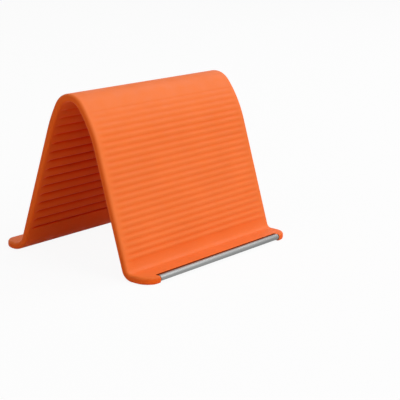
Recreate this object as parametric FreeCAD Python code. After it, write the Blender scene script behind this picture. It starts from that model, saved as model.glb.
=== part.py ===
import FreeCAD, Part
import math
import os

# Folded sheet: millimetres, and leg angles in degrees from the vertical.
sheet_width = 80.0
sheet_thickness = 2.6
stand_height = 62.0
apex_radius = 8.2
front_shoulder_radius = 43.5
front_shoulder_angle = 39.3
front_leg_angle = 16.9
rear_shoulder_radius = 56.0
rear_shoulder_angle = 31.3
rear_leg_angle = 20.3
toe_radius = 2.0
heel_radius = 6.0
front_lip_land = 2.4
rear_lip_land = 0.3
corner_radius = 6.0
outer_edge_radius = 0.9
inner_edge_chamfer = 0.5

# Reeded fields: rounded crests parted by narrow valleys, sunk a little below the plain border.
# They stop short of the bend at the apex and of the one above each lip.
outer_rib_pitch = 2.3
inner_rib_pitch = 3.55
rib_depth = 0.4
field_recess = 0.1
valley_width = 0.75
side_border = 2.2
outer_apex_border = 5.7
outer_bend_border = 2.3
inner_apex_border = 1.8
inner_bend_border = 3.9

# Rod in the front lip's edge.
rod_diameter = 2.2
rod_inset = 6.6
rod_rise = 0.3
rod_sink = 0.5
rod_chamfer = 0.25
seat_clearance = 0.06
end_clearance = 0.3

# Room that a cutting solid takes beyond the face it cuts.
cutter_room = 1.0

level = math.pi / 2
front_lip = front_lip_land + corner_radius
rear_lip = rear_lip_land + corner_radius
rod_radius = rod_diameter / 2
rod_length = sheet_width - 2 * rod_inset


def leg_path(shoulder_radius, shoulder_angle, leg_angle, bend_radius, lip):
    """Stretches of a leg's outer face from the apex to its lip: length, first angle, last angle."""
    shoulder = math.radians(shoulder_angle)
    steep = math.radians(leg_angle)
    apex_drop = apex_radius * (1 - math.sin(shoulder))
    shoulder_drop = shoulder_radius * (math.sin(shoulder) - math.sin(steep))
    bend_drop = bend_radius * (1 - math.sin(steep))
    straight_drop = stand_height - sheet_thickness - apex_drop - shoulder_drop - bend_drop
    return [
        (apex_radius * (level - shoulder), level, shoulder),
        (shoulder_radius * (shoulder - steep), shoulder, steep),
        (straight_drop / math.cos(steep), steep, steep),
        (bend_radius * (level - steep), steep, level),
        (lip, level, level),
    ]


def walk(path, along):
    """Distance out from the apex, height and angle at a distance along a leg's outer face."""
    out = 0.0
    height = stand_height
    angle = level
    for length, first, last in path:
        step = min(along, length)
        turn = (last - first) / length
        angle = first + turn * step
        if first == last:
            out += step * math.sin(first)
            height -= step * math.cos(first)
        else:
            out += (math.cos(first) - math.cos(angle)) / turn
            height -= (math.sin(angle) - math.sin(first)) / turn
        along -= step
        if along <= 0:
            break
    return out, height, angle


front_path = leg_path(
    front_shoulder_radius, front_shoulder_angle, front_leg_angle, toe_radius, front_lip)
rear_path = leg_path(
    rear_shoulder_radius, rear_shoulder_angle, rear_leg_angle, heel_radius, rear_lip)


def path_length(path):
    return sum(stretch[0] for stretch in path)


# The origin lies on the floor under the middle of the footprint, with the front lip towards -Y.
front_reach = walk(front_path, path_length(front_path))[0]
rear_reach = walk(rear_path, path_length(rear_path))[0]
half_depth = (front_reach + rear_reach) / 2
apex_y = (front_reach - rear_reach) / 2
FRONT = -1
REAR = 1


def point_on(path, side, along, lift):
    """Point of a leg's section, lifted off its outer face; a negative lift goes into the sheet."""
    out, height, angle = walk(path, along)
    y = apex_y + side * (out + lift * math.cos(angle))
    return FreeCAD.Vector(0, y, height + lift * math.sin(angle))


def face_edges(path, side, lift):
    """Lines and arcs that follow a leg at one depth."""
    edges = []
    begin = 0.0
    for length, first, last in path:
        points = [point_on(path, side, begin + length * share, lift) for share in (0, 0.5, 1)]
        if first == last:
            edges.append(Part.LineSegment(points[0], points[2]).toShape())
        else:
            edges.append(Part.Arc(*points).toShape())
        begin += length
    return edges


def across(edges, width):
    """Solid of a closed section carried across the stand, centred on it."""
    wire = Part.Wire(Part.__sortEdges__(edges))
    wire.translate(FreeCAD.Vector(-width / 2, 0, 0))
    return Part.Face(wire).extrude(FreeCAD.Vector(width, 0, 0))


def bent_strip():
    """The sheet bent to its section, with square ends and sharp edges."""
    edges = []
    for path, side in ((front_path, FRONT), (rear_path, REAR)):
        edges += face_edges(path, side, 0)
        edges += face_edges(path, side, -sheet_thickness)
        end = path_length(path)
        top = point_on(path, side, end, 0)
        bottom = point_on(path, side, end, -sheet_thickness)
        edges.append(Part.LineSegment(top, bottom).toShape())
    return across(edges, sheet_width)


def corner_cutters():
    """What is taken off the four corners of the lips to round them in plan."""
    cutters = []
    height = sheet_thickness + 2 * cutter_room
    size = corner_radius + cutter_room
    for x_side in (-1, 1):
        for y_side in (FRONT, REAR):
            x = x_side * (sheet_width / 2 - corner_radius)
            y = y_side * (half_depth - corner_radius)
            low = FreeCAD.Vector(min(x, x + x_side * size), min(y, y + y_side * size), -cutter_room)
            block = Part.makeBox(size, size, height, low)
            post = Part.makeCylinder(corner_radius, height, FreeCAD.Vector(x, y, -cutter_room))
            cutters.append(block.cut(post))
    return cutters


def rim_edges(sheet, lift):
    """Edges where one broad face of the sheet meets the rim that runs all the way round it."""
    near = inner_edge_chamfer / 10
    face_line = Part.Compound(
        face_edges(front_path, FRONT, lift) + face_edges(rear_path, REAR, lift))
    found = []
    for edge in sheet.Edges:
        first = edge.Vertexes[0].Point
        last = edge.Vertexes[-1].Point
        middle = edge.valueAt((edge.FirstParameter + edge.LastParameter) / 2)
        on_face = Part.Vertex(0, middle.y, middle.z).distToShape(face_line)[0] < near
        seam = abs(first.y - last.y) < near and abs(abs(first.y) - half_depth) > near
        if on_face and not (seam and abs(first.z - last.z) < near):
            found.append(edge)
    return found


def outer_field(path, side):
    """Cutting solid for the reeded field on a leg's outer face."""
    begin = path_length(path[:1]) + outer_apex_border
    end = path_length(path[:3]) - outer_bend_border
    return ribbed_field(path, side, begin, end, outer_rib_pitch, 0, -1)


def inner_field(path, side):
    """Cutting solid for the reeded field on a leg's inner face."""
    begin = path_length(path[:1]) + inner_apex_border
    end = path_length(path[:3]) - inner_bend_border
    return ribbed_field(path, side, begin, end, inner_rib_pitch, -sheet_thickness, 1)


def ribbed_field(path, side, begin, end, pitch, face, inward):
    """Solid that carves whole ribs into a face at one depth of the sheet, along the leg's curve."""
    count = round((end - begin) / pitch)
    step = (end - begin) / count
    crest = face + inward * field_recess
    valley = crest + inward * rib_depth
    joint = valley - inward * rib_depth * valley_width / step
    outside = face - inward * cutter_room
    half_valley = valley_width / 2

    def at(along, lift):
        return point_on(path, side, along, lift)

    edges = []
    for rib in range(count):
        low = begin + rib * step
        high = low + step
        rise = at(low + half_valley, joint)
        fall = at(high - half_valley, joint)
        edges.append(Part.Arc(rise, at((low + high) / 2, crest), fall).toShape())
        if rib < count - 1:
            next_rise = at(high + half_valley, joint)
            edges.append(Part.Arc(fall, at(high, valley), next_rise).toShape())
    first = begin + half_valley
    last = end - half_valley
    back = [at(last, joint)]
    back += [at(last + (first - last) * part / count, outside) for part in range(count + 1)]
    back.append(at(first, joint))
    edges += Part.makePolygon(back).Edges
    return across(edges, sheet_width - 2 * side_border)


# The rod's front line is flush with the front of the lip's corners, and its middle lies a little
# above the lip's, so that it keeps clear of the floor.
rod_y = rod_radius - half_depth
rod_z = sheet_thickness / 2 + rod_rise


def rod_seat():
    """Notch along the front lip's edge, with a shallow round groove that holds the rod."""
    length = rod_length + 2 * end_clearance
    groove_radius = rod_radius + seat_clearance
    wall_y = rod_y + groove_radius - rod_sink
    low = FreeCAD.Vector(-length / 2, -half_depth - cutter_room, -cutter_room)
    notch = Part.makeBox(
        length, wall_y - low.y, sheet_thickness + 2 * cutter_room, low)
    groove = Part.makeCylinder(
        groove_radius, length, FreeCAD.Vector(-length / 2, rod_y, rod_z), FreeCAD.Vector(1, 0, 0))
    return [notch, groove]


def ribbed_sheet():
    """One moulded sheet: bent, rounded at its corners and rim, notched for the rod and reeded."""
    sheet = bent_strip().cut(corner_cutters())
    sheet = sheet.makeFillet(outer_edge_radius, rim_edges(sheet, 0))
    sheet = sheet.makeChamfer(inner_edge_chamfer, rim_edges(sheet, -sheet_thickness))
    fields = []
    for path, side in ((front_path, FRONT), (rear_path, REAR)):
        fields.append(outer_field(path, side))
        fields.append(inner_field(path, side))
    return sheet.cut(rod_seat() + fields)


def steel_rod():
    """Round bar with chamfered ends."""
    start = FreeCAD.Vector(-rod_length / 2, rod_y, rod_z)
    bar = Part.makeCylinder(rod_radius, rod_length, start, FreeCAD.Vector(1, 0, 0))
    ends = [edge for edge in bar.Edges if edge.Closed and edge.BoundBox.XLength < rod_radius]
    return bar.makeChamfer(rod_chamfer, ends)


os.makedirs("parts", exist_ok=True)
for name, shape in (("ribbed_sheet", ribbed_sheet()), ("steel_rod", steel_rod())):
    solid = shape.Solids[0]
    solid.exportStep("parts/" + name + ".step")
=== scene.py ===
import math
import bmesh
import bpy
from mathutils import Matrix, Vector, kdtree


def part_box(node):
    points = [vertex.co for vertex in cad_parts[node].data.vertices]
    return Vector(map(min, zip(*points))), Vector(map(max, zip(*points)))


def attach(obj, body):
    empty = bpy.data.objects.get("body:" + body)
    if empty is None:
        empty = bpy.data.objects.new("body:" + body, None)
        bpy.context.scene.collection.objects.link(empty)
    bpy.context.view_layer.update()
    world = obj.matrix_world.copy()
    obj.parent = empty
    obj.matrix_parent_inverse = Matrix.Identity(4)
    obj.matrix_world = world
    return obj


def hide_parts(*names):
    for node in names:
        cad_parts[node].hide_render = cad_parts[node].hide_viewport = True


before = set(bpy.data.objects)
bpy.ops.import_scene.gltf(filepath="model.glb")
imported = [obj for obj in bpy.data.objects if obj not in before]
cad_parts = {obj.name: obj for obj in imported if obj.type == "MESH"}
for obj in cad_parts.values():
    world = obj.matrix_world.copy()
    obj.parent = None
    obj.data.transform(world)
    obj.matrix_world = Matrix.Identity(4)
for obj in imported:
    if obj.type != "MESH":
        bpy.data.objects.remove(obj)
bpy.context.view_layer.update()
bpy.ops.object.select_all(action="DESELECT")

# Ribbed sheet: one strip of orange rubber, moulded to an inverted V with both feet turned out
# level. Both broad faces of each leg are reeded; the fold, the side borders and the lips are
# plain. The strip is swept from foot to foot, thickened, rounded along its rim, then reeded.
sheet_low, sheet_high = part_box("ribbed_sheet")
height = sheet_high.z
half_width = sheet_high.x
thickness = 0.0026
apex_radius = 0.0082
corner_radius = 0.006
rim_radius = 0.0009
rim_segments = 4
level = math.pi / 2
front = -1
rear = 1


def leg_line(shoulder_radius, shoulder_angle, leg_angle, bend_radius, lip):
    """Stretches of a leg's outer face from the apex down: length, first and last angle.

    Angles are taken from the vertical; the ones given are in degrees.
    """
    shoulder = math.radians(shoulder_angle)
    steep = math.radians(leg_angle)
    drop = height - thickness - apex_radius * (1 - math.sin(shoulder))
    drop -= shoulder_radius * (math.sin(shoulder) - math.sin(steep))
    drop -= bend_radius * (1 - math.sin(steep))
    return [
        (apex_radius * (level - shoulder), level, shoulder),
        (shoulder_radius * (shoulder - steep), shoulder, steep),
        (drop / math.cos(steep), steep, steep),
        (bend_radius * (level - steep), steep, level),
        (lip, level, level),
    ]


leg_lines = {
    front: leg_line(
        shoulder_radius=0.0435, shoulder_angle=39.3, leg_angle=16.9, bend_radius=0.002, lip=0.0084),
    rear: leg_line(
        shoulder_radius=0.056, shoulder_angle=31.3, leg_angle=20.3, bend_radius=0.006, lip=0.0063),
}
leg_lengths = {side: sum(stretch[0] for stretch in line) for side, line in leg_lines.items()}


def down_leg(side, along):
    """Distance out from the apex, height and angle at a distance down a leg's outer face."""
    out = 0.0
    z = height
    angle = level
    for length, first, last in leg_lines[side]:
        step = min(along, length)
        angle = first + (last - first) * step / length
        if first == last:
            out += step * math.sin(first)
            z -= step * math.cos(first)
        else:
            turn = (last - first) / length
            out += (math.cos(first) - math.cos(angle)) / turn
            z -= (math.sin(angle) - math.sin(first)) / turn
        along -= step
        if along <= 0:
            break
    return out, z, angle


apex_y = down_leg(front, leg_lengths[front])[0] + sheet_low.y


def reed_fields(apex_border, bend_border, pitch):
    """For each leg, where a reeded field begins and ends, and how many reeds it holds."""
    fields = {}
    for side, line in leg_lines.items():
        begin = line[0][0] + apex_border
        end = sum(stretch[0] for stretch in line[:3]) - bend_border
        fields[side] = (begin, end, round((end - begin) / pitch))
    return fields


outer_reeds = reed_fields(apex_border=0.0034, bend_border=0.0023, pitch=0.0023)
inner_reeds = reed_fields(apex_border=0.0018, bend_border=0.0039, pitch=0.00355)

# Rows of vertices: some in each stretch of a leg, several to a reed, and some round the corners.
rows_per_stretch = (16, 14, 12, 10, 2)
rows_per_reed = 8
corner_turns = (0, 32, 43, 54, 66, 78, 90)
least_row_gap = 0.00007


def leg_rows(side):
    """Distances down a leg at which the swept strip gets a row of vertices."""
    rows = []
    start = 0.0
    for (length, _, _), count in zip(leg_lines[side], rows_per_stretch):
        rows += [start + length * part / count for part in range(count)]
        start += length
    for begin, end, reeds in (outer_reeds[side], inner_reeds[side]):
        pitch = (end - begin) / reeds
        steps = range(reeds * rows_per_reed + 1)
        rows += [begin + pitch * step / rows_per_reed for step in steps]
    rows = [row for row in rows if row < start - corner_radius]
    for turn in corner_turns:
        rows.append(start - corner_radius * (1 - math.cos(math.radians(turn))))
    rows.sort()
    kept = rows[:1]
    for row in rows[1:]:
        if row - kept[-1] > least_row_gap:
            kept.append(row)
    kept[-1] = start
    return kept


# Rows of the strip in order from the front lip's edge over the apex to the rear lip's edge.
stations = [(front, along) for along in reversed(leg_rows(front))]
stations += [(rear, along) for along in leg_rows(rear)[1:]]


def station_point(side, along, lift=0.0):
    """Depth and height of a station, lifted off the strip's outer face."""
    out, z, angle = down_leg(side, along)
    return apex_y + side * (out + lift * math.cos(angle)), z + lift * math.sin(angle)


def row_half_width(side, along):
    """Half the strip's width at a station; the lips' corners are rounded in plan."""
    to_tip = leg_lengths[side] - along
    if to_tip >= corner_radius:
        return half_width
    inset = corner_radius - to_tip
    return half_width - corner_radius + math.sqrt(max(corner_radius ** 2 - inset ** 2, 0.0))


# Places across half a row, closer together near the side, where the reeds run out.
half_row = (0.0, 0.012, 0.024, 0.034, 0.0352, 0.0361, 0.0370, 0.0379, 0.0385, 0.0388, half_width)
row_places = [-x for x in reversed(half_row[1:])] + list(half_row)
bpy.ops.mesh.primitive_plane_add(size=2 * half_width, location=(0, 0, 0))
sheet = bpy.context.object
sheet.name = "reeded_sheet"
bpy.ops.object.mode_set(mode="EDIT")
strip = bmesh.from_edit_mesh(sheet.data)
bmesh.ops.delete(strip, geom=[v for v in strip.verts if v.co.y > 0], context="VERTS")
bmesh.update_edit_mesh(sheet.data)
bpy.ops.mesh.select_all(action="SELECT")
bpy.ops.mesh.subdivide(number_cuts=len(row_places) - 2)
strip = bmesh.from_edit_mesh(sheet.data)
tip_y, tip_z = station_point(*stations[0])
tip_share = row_half_width(*stations[0]) / half_width
for vertex, x in zip(sorted(strip.verts, key=lambda v: v.co.x), row_places):
    vertex.co = (x * tip_share, tip_y, tip_z)
bmesh.update_edit_mesh(sheet.data)
bpy.ops.mesh.select_all(action="SELECT")
for before, after in zip(stations, stations[1:]):
    y0, z0 = station_point(*before)
    y1, z1 = station_point(*after)
    bpy.ops.mesh.extrude_region_move(TRANSFORM_OT_translate={"value": (0, y1 - y0, z1 - z0)})
    widen = row_half_width(*after) / row_half_width(*before)
    if widen != 1.0:
        bpy.ops.transform.resize(value=(widen, 1, 1), center_override=(0, y1, z1))
bpy.ops.mesh.select_all(action="SELECT")
strip = bmesh.from_edit_mesh(sheet.data)
top_face = max(strip.faces, key=lambda f: f.calc_center_median().z)
if top_face.normal.z < 0:
    bpy.ops.mesh.flip_normals()
bpy.ops.object.mode_set(mode="OBJECT")


def apply_modifier(piece, kind, **settings):
    """Adds a modifier to a piece and applies it."""
    modifier = piece.modifiers.new(kind.lower(), kind)
    for key, value in settings.items():
        setattr(modifier, key, value)
    bpy.context.view_layer.objects.active = piece
    bpy.ops.object.modifier_apply(modifier=modifier.name)


apply_modifier(sheet, "SOLIDIFY", thickness=thickness, offset=-1, use_even_offset=True)
apply_modifier(
    sheet, "BEVEL", width=rim_radius, segments=rim_segments, limit_method="ANGLE",
    angle_limit=math.radians(50), use_clamp_overlap=False)
bpy.ops.object.mode_set(mode="EDIT")
bpy.ops.mesh.select_all(action="SELECT")
bpy.ops.mesh.normals_make_consistent(inside=False)
bpy.ops.object.mode_set(mode="OBJECT")

# Reeds are pressed in along the strip's own normals: round waves on the outer faces, and crests
# parted by narrow valleys on the inner ones. They run out towards the apex and at their ends.
outer_depth = 0.0003
outer_sharpness = 1.2
inner_depth = 0.0008
inner_sharpness = 3
crest_depth_share = 0.12
field_half_width = 0.0388
end_fade = 0.003
top_fade_reeds = 5
top_depth_share = 0.3

# Painted shade, as tones: none on the outer crests, more on the rim, inside and in valleys, most as
# a painted shadow on the notch's back wall.
painted_inside_shade = 0.25
painted_inner_valley_shade = 0.4
painted_outer_valley_shade = 0.1
painted_wall_shadow = 1.0

# Each vertex finds the nearest station, on the outer or the inner face. One that lies further off
# than the slack belongs to the rim.
face_slack = 0.0001
lookup = kdtree.KDTree(2 * len(stations))
for index, station in enumerate(stations):
    lookup.insert((0, *station_point(*station)), 2 * index)
    lookup.insert((0, *station_point(*station, lift=-thickness)), 2 * index + 1)
lookup.balance()
pressed = {}
painted_shade_tones = [0.0] * len(sheet.data.vertices)
for vertex in sheet.data.vertices:
    _, found, gap = lookup.find((0, vertex.co.y, vertex.co.z))
    side, along = stations[found // 2]
    inner = found % 2 == 1
    begin, end, reeds = (inner_reeds if inner else outer_reeds)[side]
    to_end = field_half_width - abs(vertex.co.x)
    # Painted shade: full on the inner faces, rising across the rim on the outer ones.
    base_painted_shade = painted_inside_shade * (1.0 if inner else min(gap / rim_radius, 1.0))
    painted_shade_tones[vertex.index] = base_painted_shade
    if gap > face_slack or to_end <= 0 or along < begin or along > end:
        continue
    reeds_down = (along - begin) / (end - begin) * reeds
    off_crest = abs(2 * (reeds_down - math.floor(reeds_down)) - 1)
    if inner:
        valley = off_crest ** inner_sharpness
        valley_painted_shade = painted_inner_valley_shade
    else:
        valley = (0.5 - 0.5 * math.cos(math.pi * off_crest)) ** outer_sharpness
        valley_painted_shade = painted_outer_valley_shade
    full = top_depth_share + (1 - top_depth_share) * min(reeds_down / top_fade_reeds, 1.0)
    full *= min(to_end / end_fade, 1.0)
    # More painted shade in the valleys of the reeds.
    painted_shade_tones[vertex.index] = base_painted_shade + valley * full * valley_painted_shade
    pressed[vertex.index] = (inner, (crest_depth_share + (1 - crest_depth_share) * valley) * full)
outer_group = sheet.vertex_groups.new(name="outer_reeds")
inner_group = sheet.vertex_groups.new(name="inner_reeds")
for index, (inner, depth) in pressed.items():
    (inner_group if inner else outer_group).add([index], depth, "REPLACE")
valley_tones = sheet.data.attributes.new("valley", "FLOAT", "POINT")
valley_tones.data.foreach_set("value", painted_shade_tones)
apply_modifier(sheet, "DISPLACE", strength=-outer_depth, mid_level=0.0, vertex_group="outer_reeds")
apply_modifier(sheet, "DISPLACE", strength=-inner_depth, mid_level=0.0, vertex_group="inner_reeds")

# The notch for the rod is cut along the front lip's edge. The rod lies against its back wall, which
# steps back a little above the rod's middle and leaves a gap there, darkened further by a painted
# shadow.
rod_radius = 0.0011
rod_half_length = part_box("steel_rod")[1].x
rod_y = sheet_low.y + rod_radius
rod_z = 0.0016
end_gap = 0.0003
glue_gap = 0.00002
step_back = 0.00035
step_z = 0.0018
cutter_room = 0.001
cutter_top = 0.004
notch_half = rod_half_length + end_gap
notch_front = sheet_low.y - cutter_room
notch_wall = rod_y + rod_radius + glue_gap
for wall, low in ((notch_wall, -cutter_room), (notch_wall + step_back, step_z)):
    middle = (0, (wall + notch_front) / 2, (low + cutter_top) / 2)
    bpy.ops.mesh.primitive_cube_add(size=1, location=middle)
    notch = bpy.context.object
    notch.scale = (2 * notch_half, wall - notch_front, cutter_top - low)
    bpy.ops.object.transform_apply(location=True, scale=True)
    apply_modifier(sheet, "BOOLEAN", operation="DIFFERENCE", solver="MANIFOLD", object=notch)
    bpy.data.objects.remove(notch)

# The notch's back wall gets a painted shadow, the deepest painted shade; every other face keeps the
# painted shade of its vertices.
wall_zone = 0.0005
painted_shade_points = [point.value for point in sheet.data.attributes["valley"].data]
painted_shade_corners = []
for face in sheet.data.polygons:
    in_notch = abs(face.center.x) < notch_half and rod_y < face.center.y < notch_wall + wall_zone
    faces_front = face.normal.y < -0.5
    for index in face.vertices:
        painted_shade_corners.append(painted_wall_shadow if in_notch and faces_front else painted_shade_points[index])
shadow = sheet.data.attributes.new("shadow", "FLOAT", "CORNER")
shadow.data.foreach_set("value", painted_shade_corners)
bpy.ops.object.select_all(action="DESELECT")
sheet.select_set(True)
bpy.context.view_layer.objects.active = sheet
bpy.ops.object.transform_apply(location=True, rotation=True, scale=True)
bpy.ops.object.shade_smooth_by_angle(angle=math.radians(38))


def new_material(name):
    """A material with its node tree, shader and Object coordinates."""
    material = bpy.data.materials.new(name)
    material.use_nodes = True
    tree = material.node_tree
    shader = tree.nodes["Principled BSDF"]
    place = tree.nodes.new("ShaderNodeTexCoord").outputs["Object"]
    return material, tree, shader, place


def noise(tree, place, scale, detail=2.0, stretch=(1, 1, 1)):
    """A noise value over the piece, stretched along its axes."""
    mapping = tree.nodes.new("ShaderNodeMapping")
    mapping.inputs["Scale"].default_value = stretch
    texture = tree.nodes.new("ShaderNodeTexNoise")
    texture.inputs["Scale"].default_value = scale
    texture.inputs["Detail"].default_value = detail
    tree.links.new(place, mapping.inputs["Vector"])
    tree.links.new(mapping.outputs["Vector"], texture.inputs["Vector"])
    return texture.outputs["Fac"]


def ramp(tree, value, *stops):
    """Colour steps over a value."""
    node = tree.nodes.new("ShaderNodeValToRGB")
    elements = node.color_ramp.elements
    while len(elements) < len(stops):
        elements.new(0.5)
    for element, (position, colour) in zip(elements, stops):
        element.position = position
        element.color = (*colour, 1)
    tree.links.new(value, node.inputs["Fac"])
    return node.outputs["Color"]


def grey(share):
    """A grey, for a ramp that steers a plain value."""
    return (share, share, share)


def bump(tree, shader, value, strength, distance):
    """Fine relief on a surface, from a noise value."""
    relief = tree.nodes.new("ShaderNodeBump")
    relief.inputs["Strength"].default_value = strength
    relief.inputs["Distance"].default_value = distance
    tree.links.new(value, relief.inputs["Height"])
    tree.links.new(relief.outputs["Normal"], shader.inputs["Normal"])


# Through-dyed orange rubber with a fine moulded grain. Painted shade deepens its colour and turns
# down its shine on the inside, on the rim and in the valleys; a painted shadow darkens the notch's
# back wall.
deep_orange = (0.89, 0.166, 0.016)
bright_orange = (0.93, 0.181, 0.021)
# Tints for the painted shade: none on the crests, deeper orange in the shade, dark for the painted
# shadow on the notch's back wall.
crest_tint = (1, 1, 1)
painted_shade_tint = (0.97, 0.42, 0.08)
painted_shadow_tint = (0.25, 0.2, 0.2)
rubber, tree, shader, place = new_material("orange_rubber")
mottle = noise(tree, place, scale=60, detail=3)
dye = ramp(tree, mottle, (0.3, deep_orange), (0.7, bright_orange))
# The painted shade and painted shadow multiply the dye.
painted_shade_value = tree.nodes.new("ShaderNodeAttribute")
painted_shade_value.attribute_name = "shadow"
painted_shade_colour = ramp(tree, painted_shade_value.outputs["Fac"], (0.0, crest_tint), (0.5, painted_shade_tint), (1.0, painted_shadow_tint))
painted_shade_mix = tree.nodes.new("ShaderNodeMix")
painted_shade_mix.data_type = "RGBA"
painted_shade_mix.blend_type = "MULTIPLY"
painted_shade_mix.inputs["Factor"].default_value = 1.0
tree.links.new(dye, painted_shade_mix.inputs["A"])
tree.links.new(painted_shade_colour, painted_shade_mix.inputs["B"])
tree.links.new(painted_shade_mix.outputs["Result"], shader.inputs["Base Color"])
rough = ramp(tree, noise(tree, place, scale=240), (0.3, grey(0.56)), (0.7, grey(0.68)))
tree.links.new(rough, shader.inputs["Roughness"])
shine = ramp(tree, painted_shade_value.outputs["Fac"], (0.0, grey(0.4)), (painted_inside_shade, grey(0.08)))
tree.links.new(shine, shader.inputs["Specular IOR Level"])
grain = noise(tree, place, scale=2600, detail=3)
bump(tree, shader, grain, strength=0.10, distance=0.0002)
shader.inputs["Sheen Weight"].default_value = 0.07
shader.inputs["Sheen Roughness"].default_value = 0.3
sheet.data.materials.clear()
sheet.data.materials.append(rubber)
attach(sheet, "root")
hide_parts("ribbed_sheet")

# Rod: a round bar of drawn steel, cut to length with its ends rounded over, glued into the notch
# along the front lip so that a phone's lower edge has a hard stop.
end_rounding = 0.00025
bpy.ops.object.select_all(action="DESELECT")
bpy.ops.mesh.primitive_cylinder_add(
    vertices=48, radius=rod_radius, depth=2 * rod_half_length,
    location=(0, rod_y, rod_z), rotation=(0, math.radians(90), 0))
rod = bpy.context.object
rod.name = "drawn_rod"
bpy.ops.object.mode_set(mode="EDIT")
bpy.ops.mesh.select_mode(type="EDGE")
bpy.ops.mesh.select_all(action="DESELECT")
bar = bmesh.from_edit_mesh(rod.data)
for edge in bar.edges:
    start, end = edge.verts
    edge.select = abs(start.co.z - end.co.z) < rod_radius
bar.select_flush_mode()
bmesh.update_edit_mesh(rod.data)
bpy.ops.mesh.bevel(offset=end_rounding, segments=2, affect="EDGES")
bpy.ops.object.mode_set(mode="OBJECT")
bpy.ops.object.transform_apply(location=True, rotation=True, scale=True)
bpy.ops.object.shade_smooth_by_angle(angle=math.radians(30))

# Satin steel with fine drawing lines along the bar.
dark_steel = (0.23, 0.235, 0.235)
pale_steel = (0.31, 0.315, 0.31)
steel, tree, shader, place = new_material("drawn_steel")
streaks = noise(tree, place, scale=900, detail=3, stretch=(0.03, 1, 1))
drawn = ramp(tree, streaks, (0.3, dark_steel), (0.7, pale_steel))
tree.links.new(drawn, shader.inputs["Base Color"])
smears = noise(tree, place, scale=300, stretch=(0.1, 1, 1))
rough = ramp(tree, smears, (0.3, grey(0.50)), (0.7, grey(0.60)))
tree.links.new(rough, shader.inputs["Roughness"])
bump(tree, shader, streaks, strength=0.08, distance=0.00005)
shader.inputs["Metallic"].default_value = 1.0
rod.data.materials.append(steel)
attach(rod, "root")
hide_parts("steel_rod")

# Studio: a sheet of white paper under the stand in a bright room, with three soft lamps. Paper and
# room are seen as plain white, by the camera and in reflections; the paper keeps a faint shadow.
white = (1, 1, 1, 1)
paper_grey = (0.85, 0.85, 0.85, 1)
paper_glow_share = 0.93
bpy.ops.object.select_all(action="DESELECT")
bpy.ops.mesh.primitive_plane_add(size=8, location=(0, 0, 0))
floor = bpy.context.object
floor.name = "studio_floor"


def background_rays(tree, share):
    """A share for rays that show the background, seen, mirrored or through glass; else nothing."""
    path = tree.nodes.new("ShaderNodeLightPath")
    value = path.outputs["Is Camera Ray"]
    for ray in ("Is Glossy Ray", "Is Transmission Ray"):
        either = tree.nodes.new("ShaderNodeMath")
        either.operation = "MAXIMUM"
        tree.links.new(value, either.inputs[0])
        tree.links.new(path.outputs[ray], either.inputs[1])
        value = either.outputs[0]
    part = tree.nodes.new("ShaderNodeMath")
    part.operation = "MULTIPLY"
    part.inputs[1].default_value = share
    tree.links.new(value, part.inputs[0])
    return part.outputs[0]


def mix_shaders(tree, share, lit, seen, output):
    """Mixes a lit shader with the plain white one that is seen, and sends both to an output."""
    mixed = tree.nodes.new("ShaderNodeMixShader")
    tree.links.new(share, mixed.inputs["Fac"])
    tree.links.new(lit, mixed.inputs[1])
    tree.links.new(seen, mixed.inputs[2])
    tree.links.new(mixed.outputs["Shader"], tree.nodes[output].inputs["Surface"])


paper, tree, shader, _ = new_material("studio_paper")
shader.inputs["Base Color"].default_value = paper_grey
shader.inputs["Roughness"].default_value = 0.9
glow = tree.nodes.new("ShaderNodeEmission")
glow.inputs["Color"].default_value = white
glow.inputs["Strength"].default_value = 1.0
mix_shaders(
    tree, background_rays(tree, paper_glow_share), shader.outputs["BSDF"],
    glow.outputs["Emission"], "Material Output")
floor.data.materials.append(paper)

world = bpy.data.worlds.new("studio_room")
world.use_nodes = True
tree = world.node_tree
room = tree.nodes["Background"]
room.inputs["Color"].default_value = white
room.inputs["Strength"].default_value = 0.3
backdrop = tree.nodes.new("ShaderNodeBackground")
backdrop.inputs["Color"].default_value = white
backdrop.inputs["Strength"].default_value = 1.0
mix_shaders(
    tree, background_rays(tree, 1.0), room.outputs["Background"], backdrop.outputs["Background"],
    "World Output")
bpy.context.scene.world = world

lamp_aim = Vector((0, 0, 0.03))


def soft_box(name, place, size, watts):
    """A square studio lamp that faces the stand's middle."""
    bpy.ops.object.light_add(type="AREA", location=place)
    lamp = bpy.context.object
    lamp.name = name
    lamp.data.size = size
    lamp.data.energy = watts
    toward = lamp_aim - lamp.location
    lamp.rotation_euler = toward.to_track_quat("-Z", "Y").to_euler()


soft_box("key_lamp", (0.15, -0.9, 0.75), size=0.7, watts=6.7)
soft_box("left_lamp", (-0.95, 0.15, 0.45), size=0.6, watts=0.8)
soft_box("right_lamp", (0.85, -0.1, 0.78), size=0.7, watts=4)

# Camera: at the photograph's viewing angle, level from side to side, with a long lens.
pitch = math.radians(75.669)
heading = math.radians(-49.5)
bpy.ops.object.camera_add(location=(-0.30474, -0.28686, 0.12329), rotation=(pitch, 0, heading))
camera = bpy.context.object
camera.data.lens = 102.22
camera.data.sensor_width = 36
camera.data.clip_start = 0.01
bpy.context.scene.camera = camera
bpy.context.scene.view_settings.view_transform = "Standard"
